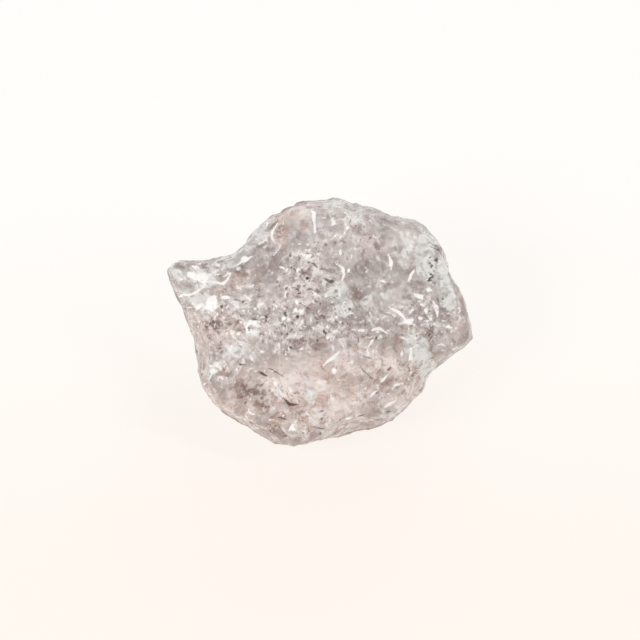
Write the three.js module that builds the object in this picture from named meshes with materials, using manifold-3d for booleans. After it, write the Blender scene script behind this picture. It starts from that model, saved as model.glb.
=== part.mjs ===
// A rough morganite: one broken, glassy piece of pale pink beryl of 35 carats, lying on its flattest break.
// Millimetres, +Z up. The origin is the middle of the stone's box, on the surface that it rests on.
import * as THREE from "three";
import { mergeVertices } from "three/addons/utils/BufferGeometryUtils.js";
import Module from "manifold-3d";

const wasm = await Module();
wasm.setup();

// Driving dimensions, in millimetres and degrees
const NEAR_BULGE = 7.0; // from the plane of the outline to the top of the near face
const FAR_BULGE = 8.2; // from the plane of the outline to the deepest point of the far face
const SHOULDER = 2.15; // 2 makes an ellipse of the bulge's section, and more makes it boxier
const LEAN = 30; // how far the plane of the outline leans back from level
const REST_DROP = 6.5; // from the outline's centre down to the flat break that the stone rests on
const ALLOWANCE = 0.8; // how far the blank stands out of the outline before it is trimmed
const RIM_SAVING = 0.7; // how much a fracture is turned to face along the view, as a share of the way of the surface
const RIM_STEP = 0.65; // length of the rim's straight pieces
const RIM_WANDER = { middle: 0.2, swings: [[0.6, 2], [0.4, 5], [0.25, 9]] }; // height of the outline round the stone
const NEAR_SLOPE = { middle: 0.14, swings: [[0.05, 3], [0.06, 7]] }; // how fast the wall leans in above the outline
const FAR_SLOPE = { middle: 0.3, swings: [[0.12, 3], [0.1, 7]] }; // and below it
const BLOCK_REACH = 9; // from the plane of the outline to the ends of the block that trims the blank to it
const FLATNESS = 0.012; // how far a triangle may lie from the round shape that it stands for
const FACET = [0.75, 1.25]; // shortest and longest edge of a fracture's triangles
const UNEVENNESS = 0.07; // how far a fracture strays from a true ball
const RANDOM_SEED = 35;

// The outline as it is seen square to its plane, anticlockwise from the tip of the horn on the left
const OUTLINE = [
  [-11.04, 3.55], [-10.84, 2.94], [-10.48, 2.03], [-9.98, 0.86], [-9.42, -0.56], [-9.12, -1.52],
  [-8.97, -2.84], [-8.62, -4.46], [-7.96, -5.67], [-6.75, -6.79], [-5.14, -7.95], [-4.08, -8.56],
  [-3.02, -8.86], [-1.61, -8.91], [-0.2, -8.61], [1.36, -8.26], [3.23, -7.85], [4.59, -7.5],
  [5.7, -6.58], [6.96, -5.37], [7.51, -4.76], [7.46, -4.15], [7.86, -3.7], [8.57, -3.19],
  [9.42, -2.43], [10.53, -1.62], [10.74, -1.22], [10.63, -0.41], [10.33, 0.56], [10.03, 1.62],
  [9.42, 2.89], [9.02, 4], [8.67, 5.27], [7.71, 6.38], [6.9, 7.14], [5.7, 7.39],
  [4.59, 7.6], [3.83, 8.05], [2.57, 8.31], [1.61, 8.71], [1.01, 8.76], [-0.2, 8.61],
  [-1.76, 8.41], [-2.97, 7.9], [-4.23, 7.04], [-5.24, 6.18], [-5.95, 5.27], [-6.85, 4.61],
  [-7.96, 4.31], [-9.37, 4.25], [-10.08, 4.25], [-10.58, 4],
];

// Swellings of the near face: x and y in the plane of the outline, width, height
const SWELLINGS = [
  [0.9, 4.4, 9.5, 0.5], // the dome
  [2.6, -4.4, 9.0, 0.9], // the lobe below it
  [-4.4, -3.8, 6.5, 0.4],
];

// Fractures of the near face: x and y in the plane of the outline, depth, radius, and for a long one how many
// times longer than wide it is and the bearing of its length
const NEAR_BREAKS = [
  [-4.9, 4.7, 0.5, 5, 1.5, 48], // the hollow between the horn and the dome
  [-7.4, 2.6, 0.4, 7, 1.5, 5],
  [-9.9, 3.0, 0.3, 9],
  [-7.2, -0.2, 0.75, 18],
  [-4.6, 1.2, 0.65, 12],
  [-7.0, -3.6, 0.5, 16],
  [-3.4, -1.6, 0.5, 6, 2.2, -5], // the trough between the dome and the lobe
  [1.6, -0.5, 0.65, 6, 2.4, 8],
  [5.0, 0.4, 0.6, 7, 1.8, 20],
  [-1.35, 3.3, 0.75, 2.6], // the pit in the dome
  [-0.9, 6.6, 0.6, 22],
  [-3.6, 5.2, 0.35, 10],
  [2.6, 5.6, 0.5, 20],
  [2.6, 2.6, 0.55, 14],
  [5.7, 4.9, 0.7, 25], // the right shoulder
  [8.0, 3.4, 0.6, 16],
  [7.1, -2.2, 0.85, 3, 2.4, -68], // the groove that parts the lobe from the wedge on the right
  [7.4, 1.2, 0.45, 12],
  [9.4, 0.2, 0.35, 14],
  [9.2, -1.9, 0.4, 5, 2, 33],
  [4.6, -3.0, 0.45, 16],
  [1.4, -4.2, 0.5, 18],
  [-5.0, -5.4, 0.8, 5, 1.5, -35], // the shell-shaped hollow at the lower left
  [-1.7, -5.6, 0.6, 20],
  [0.8, -7.3, 0.45, 16, 1.8, 10],
  [4.9, -5.8, 0.6, 14, 1.5, 42],
  [-3.4, -7.4, 0.4, 14],
];

const FAR_BREAKS = { count: 20, from: -1, to: -0.5, depth: [0.55, 0.95], radius: [12, 30] };
const RIM_CHIPS = { count: 20, from: -0.35, to: 0.3, depth: [0.05, 0.13], radius: [5, 12] };
const CHIPS = { count: 44, from: -0.95, to: 0.98, depth: [0.1, 0.24], radius: [3, 9] };

const VIEW_AXIS = new THREE.Vector3(0, 0, 1); // square to the plane of the outline
const TURN = (1 + Math.sqrt(5)) / 2; // the golden ratio, which spreads points evenly over a sphere

// Numbers from 0 to 1 that are the same on every run.
function randomNumbers(seed) {
  let state = seed;
  return () => {
    state = (state * 1664525 + 1013904223) >>> 0;
    return state / 2 ** 32;
  };
}

const random = randomNumbers(RANDOM_SEED);
const between = ([low, high]) => low + (high - low) * random();

function solidOf(geometry) {
  const bare = geometry.clone();
  bare.deleteAttribute("normal");
  bare.deleteAttribute("uv");
  const merged = mergeVertices(bare);
  return new wasm.Manifold(
    new wasm.Mesh({
      numProp: 3,
      vertProperties: new Float32Array(merged.attributes.position.array),
      triVerts: new Uint32Array(merged.index.array),
    }),
  );
}

function geometryOf(solid) {
  const mesh = solid.getMesh();
  const geometry = new THREE.BufferGeometry();
  geometry.setAttribute("position", new THREE.BufferAttribute(mesh.vertProperties, 3));
  geometry.setIndex(new THREE.BufferAttribute(mesh.triVerts, 1));
  return geometry;
}

const swelling = (x, y) => SWELLINGS.reduce((sum, [cx, cy, width, height]) =>
  sum + height * Math.exp(-4 * (((x - cx) ** 2 + (y - cy) ** 2) / width ** 2)), 0);

// A smooth closed wave round the rim, of some swings about a middle value. It takes the turn from the start of the rim.
function wave({ middle, swings }) {
  const phases = swings.map(() => random() * 2 * Math.PI);
  return (turn) => swings.reduce((sum, [height, count], i) => sum + height * Math.sin(count * turn + phases[i]), middle);
}

function outlinePoints() {
  const corners = OUTLINE.map(([x, y]) => new THREE.Vector3(x, y, 0));
  const curve = new THREE.CatmullRomCurve3(corners, true, "centripetal");
  return curve.getSpacedPoints(Math.round(curve.getLength() / RIM_STEP));
}

// The blank: a ball whose equator is drawn out to just past the outline, and wanders up and down with it.
function blankStone(wander) {
  const rim = outlinePoints();
  rim.forEach((point) => point.setLength(point.length() + ALLOWANCE));
  const around = rim.length - 1;
  const rings = Math.round(around / 3);
  const blank = new THREE.SphereGeometry(1, around, rings);
  const places = blank.attributes.position;
  for (let ring = 0; ring <= rings; ring++) {
    const polar = (Math.PI * ring) / rings;
    const inward = ring % rings === 0 ? 0 : Math.sin(polar) ** (2 / SHOULDER);
    const rise = Math.sign(Math.cos(polar)) * Math.abs(Math.cos(polar)) ** (2 / SHOULDER);
    const bulge = rise > 0 ? NEAR_BULGE : FAR_BULGE;
    for (let step = 0; step <= around; step++) {
      const edge = rim[step % around];
      const [x, y] = [edge.x * inward, edge.y * inward];
      const height = rise * bulge + (rise > 0 ? rise * swelling(x, y) : 0);
      const shift = inward ** 2 * wander((2 * Math.PI * step) / around);
      places.setXYZ(ring * (around + 1) + step, x, y, height + shift);
    }
  }
  return solidOf(blank);
}

// Where a blow lands on a solid, and the way that the fracture faces there. It is turned from the way of the surface
// towards the near or far end of the view's axis, which saves the rim.
function struck(solid, from, towards) {
  const target = new THREE.Mesh(geometryOf(solid), new THREE.MeshBasicMaterial({ side: THREE.DoubleSide }));
  const hit = new THREE.Raycaster(from, towards).intersectObject(target)[0];
  const facing = hit.face.normal.clone().addScaledVector(VIEW_AXIS, -RIM_SAVING * towards.z);
  return { point: hit.point, normal: facing.normalize() };
}

// A ball with an uneven skin.
function unevenBall(radius) {
  const facet = THREE.MathUtils.clamp(Math.sqrt(8 * radius * FLATNESS), ...FACET);
  const detail = Math.max(3, Math.round((1.2 * radius) / facet) - 1);
  const ball = new THREE.IcosahedronGeometry(radius, detail);
  const phase = [random() * 6, random() * 6, random() * 6];
  const places = ball.attributes.position;
  const at = new THREE.Vector3();
  for (let i = 0; i < places.count; i++) {
    at.fromBufferAttribute(places, i);
    const swell = Math.sin(at.x * 1.9 + phase[0]) * Math.sin(at.y * 1.9 + phase[1]);
    const ripple = Math.sin((at.z + at.x) * 1.1 + phase[2]);
    at.setLength(radius + UNEVENNESS * Math.min(1, radius / 6) * (swell + ripple));
    places.setXYZ(i, at.x, at.y, at.z);
  }
  return ball;
}

// The ball that takes a flake of this depth from a place on the surface. It is stretched along a bearing, which is
// measured in the plane of the outline.
function flake(place, depth, radius, stretch = 1, bearing = 0) {
  const ball = unevenBall(radius).rotateX(random() * 6).rotateY(random() * 6).scale(stretch, 1, 1);
  ball.rotateZ(THREE.MathUtils.degToRad(bearing));
  const along = new THREE.Vector3(1, 0, 0).applyAxisAngle(VIEW_AXIS, THREE.MathUtils.degToRad(bearing));
  const out = place.normal;
  const lean = (stretch ** 2 - 1) * out.dot(along);
  const centre = out.clone().addScaledVector(along, lean);
  centre.multiplyScalar(radius / Math.sqrt(1 + lean * out.dot(along)));
  centre.add(place.point).addScaledVector(out, -depth);
  return solidOf(ball.translate(centre.x, centre.y, centre.z));
}

const FAR_AWAY = 40;
const nearPlace = (solid, x, y) =>
  struck(solid, new THREE.Vector3(x, y, FAR_AWAY), VIEW_AXIS.clone().negate());

// Flakes spread evenly over a belt of the stone, from one height along the view to another.
function spreadFlakes(solid, { count, from, to, depth, radius }) {
  return Array.from({ length: count }, (unused, i) => {
    const height = from + ((to - from) * (i + 0.5)) / count;
    const turn = (2 * Math.PI * i) / TURN;
    const reach = Math.sqrt(1 - height ** 2);
    const out = new THREE.Vector3(reach * Math.cos(turn), reach * Math.sin(turn), height);
    const place = struck(solid, out.clone().multiplyScalar(FAR_AWAY), out.clone().negate());
    return flake(place, between(depth), between(radius));
  });
}

// A block that trims the blank to the outline. Its widest line wanders up and down round the stone, and its walls lean
// in above and below that line.
function outlineBlock(wander) {
  const rim = outlinePoints().slice(0, -1);
  const slopes = { 1: wave(NEAR_SLOPE), "-1": wave(FAR_SLOPE) };
  const block = new THREE.CylinderGeometry(1, 1, 2, rim.length, 2, false, Math.PI / 2);
  const places = block.attributes.position;
  for (let i = 0; i < places.count; i++) {
    const [x, level, y] = [places.getX(i), Math.round(places.getY(i)), -places.getZ(i)];
    const height = level * BLOCK_REACH;
    if (Math.hypot(x, y) < 0.5) {
      places.setXYZ(i, 0, 0, height);
      continue;
    }
    const turn = Math.atan2(y, x);
    const edge = rim[(Math.round((turn / (2 * Math.PI)) * rim.length) + rim.length) % rim.length];
    const inward = level === 0 ? 1 : 1 - (slopes[level](turn) * BLOCK_REACH) / edge.length();
    places.setXYZ(i, edge.x * inward, edge.y * inward, level === 0 ? wander(turn) : height);
  }
  return solidOf(block);
}

const less = (stone, flakes) => stone.subtract(wasm.Manifold.union(flakes));

function brokenStone() {
  const wander = wave(RIM_WANDER);
  const blank = blankStone(wander);
  const near = NEAR_BREAKS.map(([x, y, ...size]) => flake(nearPlace(blank, x, y), ...size));
  return less(blank, [...near, ...spreadFlakes(blank, FAR_BREAKS)]).intersect(outlineBlock(wander));
}

function chipped(stone) {
  return less(stone, [...spreadFlakes(stone, RIM_CHIPS), ...spreadFlakes(stone, CHIPS)]);
}

// The stone leaned back as it lies, with the flat break under it.
function rested(stone) {
  const lying = geometryOf(stone).rotateX(THREE.MathUtils.degToRad(LEAN));
  const ground = new THREE.BoxGeometry(FAR_AWAY, FAR_AWAY, FAR_AWAY);
  ground.translate(0, 0, -REST_DROP - FAR_AWAY / 2);
  return solidOf(lying).subtract(solidOf(ground));
}

function stoneMesh() {
  const geometry = geometryOf(rested(chipped(brokenStone())));
  geometry.computeBoundingBox();
  const { min, max } = geometry.boundingBox;
  geometry.translate(-(min.x + max.x) / 2, -(min.y + max.y) / 2, -min.z);
  geometry.computeVertexNormals();
  const glassy = new THREE.MeshPhysicalMaterial({
    color: 0xe3cbc4, roughness: 0.15, metalness: 0, transmission: 0.9, ior: 1.58, thickness: 12,
  });
  const mesh = new THREE.Mesh(geometry, glassy);
  mesh.name = "rough_stone";
  return mesh;
}

const morganite = new THREE.Group();
morganite.add(stoneMesh());
export default morganite;
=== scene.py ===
"""A rough morganite, a broken see-through pink crystal, on a pale floor under soft light.

Sizes are in millimetres and become metres where a mesh is made. Marks are placed by pixels of the 640-pixel
picture: an oval weighs each vertex by where the camera sees it, and a stroke is cast onto the stone.
"""
import logging
import math
import random
from collections.abc import Callable
from dataclasses import dataclass
from enum import Enum

import bmesh
import bpy
import numpy as np
from mathutils import Euler, Matrix, Vector, noise
from mathutils.bvhtree import BVHTree


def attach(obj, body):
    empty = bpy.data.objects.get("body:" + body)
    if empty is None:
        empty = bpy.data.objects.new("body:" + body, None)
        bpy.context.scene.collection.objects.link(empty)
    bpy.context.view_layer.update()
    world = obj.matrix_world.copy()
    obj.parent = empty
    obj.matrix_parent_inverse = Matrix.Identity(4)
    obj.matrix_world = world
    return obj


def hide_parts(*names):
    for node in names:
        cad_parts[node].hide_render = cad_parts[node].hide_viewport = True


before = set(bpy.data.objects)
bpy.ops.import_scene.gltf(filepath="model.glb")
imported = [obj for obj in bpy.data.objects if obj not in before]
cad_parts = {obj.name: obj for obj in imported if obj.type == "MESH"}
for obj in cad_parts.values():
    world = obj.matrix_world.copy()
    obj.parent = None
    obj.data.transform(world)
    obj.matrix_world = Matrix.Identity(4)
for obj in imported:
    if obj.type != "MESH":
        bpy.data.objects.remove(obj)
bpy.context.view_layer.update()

MM = 0.001
PICTURE = 640.0
SEED = 35
FULL_TURN = 6.3  # just over a full turn, in radians
log = logging.getLogger("morganite")


class Flow:
    """A node's output socket with operators, so that shader maths reads as Python."""

    def __init__(self, recipe: "Recipe", socket: bpy.types.NodeSocket) -> None:
        """Wraps a socket of a recipe's tree."""
        self.recipe = recipe
        self.socket = socket

    def maths(self, operation: str, *others: "Flow | float", clamp: bool = False) -> "Flow":
        """Adds a Math node.

        Args:
            operation: the Math node's operation.
            others: the values after this one.
            clamp: whether the result stays from 0 to 1.

        Returns:
            The node's value.
        """
        values = dict(enumerate((self, *others)))
        return self.recipe.node("ShaderNodeMath", {"operation": operation, "use_clamp": clamp}, values)

    def __add__(self, other: "Flow | float") -> "Flow":
        """This plus other."""
        return self.maths("ADD", other)

    def __radd__(self, other: float) -> "Flow":
        """A number plus this."""
        return self.maths("ADD", other)

    def __sub__(self, other: "Flow | float") -> "Flow":
        """This minus other."""
        return self.maths("SUBTRACT", other)

    def __rsub__(self, other: float) -> "Flow":
        """A number minus this."""
        return self.recipe.number("SUBTRACT", other, self)

    def __mul__(self, other: "Flow | float") -> "Flow":
        """This times other."""
        return self.maths("MULTIPLY", other)

    def __rmul__(self, other: float) -> "Flow":
        """A number times this."""
        return self.maths("MULTIPLY", other)

    def band(self, low: float, high: float) -> "Flow":
        """Goes smoothly from 0 at low to 1 at high.

        Args:
            low: where it is 0.
            high: where it is 1; it may be under low.

        Returns:
            A value from 0 to 1.
        """
        settings = {"interpolation_type": "SMOOTHSTEP"}
        ends = (low, high, 0.0, 1.0) if low < high else (high, low, 1.0, 0.0)
        inputs = {"Value": self, **dict(zip(("From Min", "From Max", "To Min", "To Max"), ends))}
        return self.recipe.node("ShaderNodeMapRange", settings, inputs, "Result")

    def clamped(self) -> "Flow":
        """This kept from 0 to 1."""
        return self.maths("ADD", 0.0, clamp=True)


class MixSocket:
    """The numbers of a Mix node's sockets for colours."""

    SHARE = 0
    FIRST = 6
    SECOND = 7
    RESULT = 2


class Recipe:
    """A material's node tree, filled through one method."""

    def __init__(self, name: str) -> None:
        """Starts a material with an empty tree."""
        self.material = bpy.data.materials.new(name)
        self.material.use_nodes = True
        self.tree = self.material.node_tree
        self.tree.nodes.clear()
        self.places: Flow | None = None

    def node(self, kind: str, settings: dict, inputs: dict, output: str | int = 0) -> Flow:
        """Adds any node.

        Args:
            kind: the node's type.
            settings: its properties, set first.
            inputs: values or flows by the socket's name or number.
            output: the output that is wanted.

        Returns:
            That output.
        """
        made = self.tree.nodes.new(kind)
        for key, value in settings.items():
            setattr(made, key, value)
        for key, value in inputs.items():
            self._feed(made, key, value)
        return Flow(self, made.outputs[output])

    def _feed(self, made: bpy.types.Node, key: str | int, value: Flow | tuple | float) -> None:
        """Sets or links one input.

        Args:
            made: the node.
            key: the socket's name or number.
            value: a flow to link, or a value to set. A colour has three numbers.
        """
        socket = made.inputs[key]
        if isinstance(value, Flow):
            self.tree.links.new(value.socket, socket)
        elif isinstance(value, tuple) and len(value) == 3 and socket.type == "RGBA":
            socket.default_value = (*value, 1.0)
        else:
            socket.default_value = value

    def number(self, operation: str, first: float, second: Flow) -> Flow:
        """A Math node whose first value is a number."""
        return self.node("ShaderNodeMath", {"operation": operation}, {0: first, 1: second})

    def position(self) -> Flow:
        """The place on the piece.

        Returns:
            A vector, in metres.
        """
        if self.places is None:
            self.places = self.node("ShaderNodeTexCoord", {}, {}, "Object")
        return self.places

    def noise(self, size: float, detail: float = 4.0, roughness: float = 0.55, warp: float = 0.0,
              places: Flow | None = None) -> Flow:
        """Cloudy noise.

        Args:
            size: the size of its clouds, in millimetres.
            detail: how many finer layers it has.
            roughness: how strong the finer layers are.
            warp: how much it is bent.
            places: what it is worked out from, instead of the place on the piece.

        Returns:
            A value of about 0.5 on average.
        """
        vector = self.position() if places is None else places
        inputs = {"Vector": vector, "Scale": 1.0 / (size * MM), "Detail": detail,
                  "Roughness": roughness, "Distortion": warp}
        return self.node("ShaderNodeTexNoise", {}, inputs, "Fac")

    def streaks(self, size: float, turn: float, long: float) -> Flow:
        """Noise drawn out along one level direction.

        Args:
            size: the width of its streaks, in millimetres.
            turn: their direction, in degrees from the X axis.
            long: how much longer than wide they are.

        Returns:
            A value of about 0.5 on average.
        """
        drawn = self.node("ShaderNodeMapping", {"vector_type": "TEXTURE"}, {
            "Vector": self.position(), "Rotation": (0.0, 0.0, math.radians(turn)),
            "Scale": (long, 1.0, 1.0)}, "Vector")
        return self.noise(size, 3.0, 0.6, 0.6, drawn)

    def cells(self, size: float, output: str = "Distance", feature: str = "F1", sway: float = 0.0) -> Flow:
        """Cell noise.

        Args:
            size: the size of its cells, in millimetres.
            output: Distance, in cells, or Color for a chance tone that each cell has.
            feature: F1 for the distance to the nearest point, DISTANCE_TO_EDGE for that to a border.
            sway: how far the cells' borders are bent, in millimetres.

        Returns:
            The distance or the tone.
        """
        places = self.position()
        if sway:
            scaled = {"Vector": places, "Scale": 1.2 / (size * MM)}
            drift = self.node("ShaderNodeTexNoise", {}, scaled, "Color")
            places = self.node("ShaderNodeVectorMath", {"operation": "MULTIPLY_ADD"}, {
                0: drift, 1: (sway * MM,) * 3, 2: places})
        inputs = {"Vector": places, "Scale": 1.0 / (size * MM)}
        return self.node("ShaderNodeTexVoronoi", {"feature": feature}, inputs, output)

    def attribute(self, name: str) -> Flow:
        """A value that the mesh carries."""
        return self.node("ShaderNodeAttribute", {"attribute_name": name}, {}, "Fac")

    def blend(self, share: Flow | float, first: Flow | tuple, second: Flow | tuple) -> Flow:
        """Mixes two colours.

        Args:
            share: how much of the second.
            first: a colour or a flow.
            second: a colour or a flow.

        Returns:
            The colour.
        """
        inputs = {MixSocket.SHARE: share, MixSocket.FIRST: first, MixSocket.SECOND: second}
        return self.node("ShaderNodeMix", {"data_type": "RGBA"}, inputs, MixSocket.RESULT)

    def bump(self, height: Flow, distance: float) -> Flow:
        """A normal bent by a height.

        Args:
            height: the height, from 0 to 1.
            distance: what a height of 1 stands for, in millimetres.

        Returns:
            The normal.
        """
        return self.node("ShaderNodeBump", {}, {"Height": height, "Distance": distance * MM}, "Normal")

    def surface(self, shader: Flow, volume: Flow | None = None) -> bpy.types.Material:
        """Ends the tree.

        Args:
            shader: what the surface shows.
            volume: what fills the piece, if anything does.

        Returns:
            The material.
        """
        out = self.tree.nodes.new("ShaderNodeOutputMaterial")
        self.tree.links.new(shader.socket, out.inputs["Surface"])
        if volume is not None:
            self.tree.links.new(volume.socket, out.inputs["Volume"])
        return self.material


@dataclass(frozen=True)
class PhotoView:
    """The camera. The stone fills the same box of pixels as in the photograph.

    It starts at first_distance, in millimetres, and finds its place in some rounds. Its elevation is
    in degrees, and its lens and sensor are in millimetres.
    """

    lens: float = 150.0
    sensor: float = 36.0
    elevation: float = 60.0
    first_distance: float = 190.0
    rounds: int = 20
    left: float = 166.5
    top: float = 196.5
    right: float = 472.5
    bottom: float = 446.5

    @property
    def focal(self) -> float:
        """The focal length in pixels."""
        return self.lens / self.sensor * PICTURE

    @property
    def back(self) -> np.ndarray:
        """The way from the stone to the camera."""
        tilt = math.radians(self.elevation)
        return np.array((0.0, -math.cos(tilt), math.sin(tilt)))

    @property
    def up(self) -> np.ndarray:
        """The picture's upward way."""
        tilt = math.radians(self.elevation)
        return np.array((0.0, math.sin(tilt), math.cos(tilt)))

    def pixels(self, points: np.ndarray, eye: np.ndarray) -> np.ndarray:
        """Where points land in the picture.

        Args:
            points: rows of places, in metres.
            eye: the camera's place.

        Returns:
            Rows of x and y, in pixels from the top left.
        """
        seen = points - eye
        depth = -seen @ self.back
        across = PICTURE / 2 + self.focal * seen[:, 0] / depth
        down = PICTURE / 2 - self.focal * (seen @ self.up) / depth
        return np.stack((across, down), axis=1)

    def eye(self, points: np.ndarray) -> np.ndarray:
        """Finds the camera's place by moving it until the stone fits its box.

        Args:
            points: the stone's vertices, in metres.

        Returns:
            The camera's place.
        """
        middle = (points.min(0) + points.max(0)) / 2
        distance = self.first_distance * MM
        for _ in range(self.rounds):
            eye = middle + self.back * distance
            seen = self.pixels(points, eye)
            low, high = seen.min(0), seen.max(0)
            ratio = math.sqrt(np.prod(high - low) / ((self.right - self.left) * (self.bottom - self.top)))
            off = (low + high) / 2 - ((self.left + self.right) / 2, (self.top + self.bottom) / 2)
            middle = middle + np.array((off[0], 0, 0)) * distance / self.focal
            middle = middle - self.up * off[1] * distance / self.focal
            distance *= ratio
        return middle + self.back * distance

    def build(self, points: np.ndarray) -> np.ndarray:
        """Makes the scene's camera.

        Args:
            points: the stone's vertices, in metres.

        Returns:
            The camera's place.
        """
        eye = self.eye(points)
        data = bpy.data.cameras.new("photo_camera")
        data.lens = self.lens
        data.sensor_width = self.sensor
        data.clip_start = 0.01
        data.clip_end = 10.0
        camera = bpy.data.objects.new("photo_camera", data)
        camera.location = eye
        camera.rotation_euler = (math.radians(90 - self.elevation), 0.0, 0.0)
        bpy.context.scene.collection.objects.link(camera)
        bpy.context.scene.camera = camera
        return eye


@dataclass(frozen=True)
class SoftBox:
    """A studio light. It hangs at a bearing and a height round the stone, in degrees, and faces it.

    Its aim is how far over the floor the place is that it faces.
    """

    name: str
    bearing: float
    height: float
    distance: float
    width: float
    length: float
    radiance: float
    colour: tuple = (1.0, 0.98, 0.96)
    aim: float = 6.0

    def build(self) -> None:
        """Hangs the light."""
        data = bpy.data.lights.new(self.name, "AREA")
        data.shape = "RECTANGLE"
        data.size = self.width * MM
        data.size_y = self.length * MM
        data.energy = self.radiance * math.pi * data.size * data.size_y
        data.color = self.colour
        turn, rise = math.radians(self.bearing), math.radians(self.height)
        away = Vector((math.sin(turn) * math.cos(rise), -math.cos(turn) * math.cos(rise), math.sin(rise)))
        lamp = bpy.data.objects.new(self.name, data)
        lamp.location = away * self.distance * MM + Vector((0.0, 0.0, self.aim * MM))
        lamp.rotation_euler = away.to_track_quat("Z", "Y").to_euler()
        bpy.context.scene.collection.objects.link(lamp)


@dataclass
class Studio:
    """The pale floor, the light round it and the lights."""

    floor_side: float = 1200.0
    floor_drop: float = 0.02
    paper_matt: tuple = (0.5, 0.5, 0.5)
    paper_back: tuple = (1.0, 0.98, 0.955)
    paper_front: tuple = (1.0, 0.92, 0.85)
    paper_fade: float = 20.0
    glow: float = 1.36
    glow_share: float = 0.62
    sky_colour: tuple = (1.0, 0.985, 0.965)
    sky: float = 0.60
    shadow: float = 0.12
    shadow_way: tuple = (0.0, -0.5, 0.866)
    shadow_start: float = 0.6
    shadow_full: float = 0.95
    lights: tuple = (
        SoftBox("key_light", -50.0, 45.0, 260.0, 110.0, 90.0, 7.0),
        SoftBox("strip_light", 70.0, 50.0, 260.0, 20.0, 140.0, 14.0),
        SoftBox("back_light", 170.0, 35.0, 300.0, 180.0, 50.0, 5.5),
    )

    def build(self) -> None:
        """Makes the floor, the world and the lights."""
        bm = bmesh.new()
        bmesh.ops.create_grid(bm, x_segments=1, y_segments=1, size=self.floor_side * MM / 2)
        bmesh.ops.translate(bm, verts=bm.verts, vec=(0.0, 0.0, -self.floor_drop * MM))
        mesh = bpy.data.meshes.new("floor")
        bm.to_mesh(mesh)
        bm.free()
        floor = bpy.data.objects.new("floor", mesh)
        mesh.materials.append(self.paper())
        bpy.context.scene.collection.objects.link(floor)
        for light in self.lights:
            light.build()
        self.world()

    def paper(self) -> bpy.types.Material:
        """Pale warm paper that glows a little, as on a light table.

        Returns:
            Its material, warmer towards the front.
        """
        recipe = Recipe("floor_paper")
        across = recipe.node("ShaderNodeSeparateXYZ", {}, {0: recipe.position()}, "Y")
        share = across.band(self.paper_fade * MM, -self.paper_fade * MM)
        colour = recipe.blend(share, self.paper_back, self.paper_front)
        flat = recipe.node("ShaderNodeBsdfDiffuse", {}, {"Color": self.paper_matt}, "BSDF")
        glow = recipe.node("ShaderNodeEmission", {}, {"Color": colour, "Strength": self.glow}, "Emission")
        mixed = recipe.node("ShaderNodeMixShader", {}, {0: self.glow_share, 1: flat, 2: glow}, "Shader")
        return recipe.surface(mixed)

    def world(self) -> None:
        """A nearly white surrounding, darker straight above the front, where the camera blocks the light."""
        world = bpy.data.worlds.new("surrounding")
        world.use_nodes = True
        tree = world.node_tree
        back = tree.nodes["Background"]
        place = tree.nodes.new("ShaderNodeTexCoord")
        turned = tree.nodes.new("ShaderNodeVectorMath")
        turned.operation = "DOT_PRODUCT"
        turned.inputs[1].default_value = self.shadow_way
        ramp = tree.nodes.new("ShaderNodeMapRange")
        ramp.interpolation_type = "SMOOTHSTEP"
        ends = {"From Min": self.shadow_start, "From Max": self.shadow_full,
                "To Min": self.sky, "To Max": self.shadow}
        for key, value in ends.items():
            ramp.inputs[key].default_value = value
        tree.links.new(place.outputs["Generated"], turned.inputs[0])
        tree.links.new(turned.outputs["Value"], ramp.inputs["Value"])
        tree.links.new(ramp.outputs["Result"], back.inputs["Strength"])
        back.inputs["Color"].default_value = (*self.sky_colour, 1.0)
        bpy.context.scene.world = world


class Tone(Enum):
    """What a mark does to the stone. The value is the name of the mesh attribute that carries it."""

    MILK = "milk"
    WARM = "warm"
    DARK = "dark"
    BUSY = "busy"
    # painted highlights
    GLINT = "glint"
    STAIN = "stain"
    PALE = "pale"
    # painted shade along the outline as the camera sees it
    RIM = "rim"


@dataclass(frozen=True)
class Patch:
    """A soft oval mark: its middle, half width and half height in pixels, and its turn in degrees.

    It fades outwards by its fall, faster where fall_power is higher.
    """

    tone: Tone
    x: float
    y: float
    wide: float
    high: float
    turn: float = 0.0
    strength: float = 1.0
    fall: float = 0.7
    fall_power: float = 1.5

    def weight(self, places: np.ndarray) -> np.ndarray:
        """How strong the mark is.

        Args:
            places: rows of x and y in the picture, in pixels.

        Returns:
            A value for each place.
        """
        turn = math.radians(self.turn)
        off = places - (self.x, self.y)
        along = off[:, 0] * math.cos(turn) - off[:, 1] * math.sin(turn)
        across = off[:, 0] * math.sin(turn) + off[:, 1] * math.cos(turn)
        reach = (along / self.wide) ** 2 + (across / self.high) ** 2
        return self.strength * np.exp(-self.fall * reach ** self.fall_power)


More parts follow.
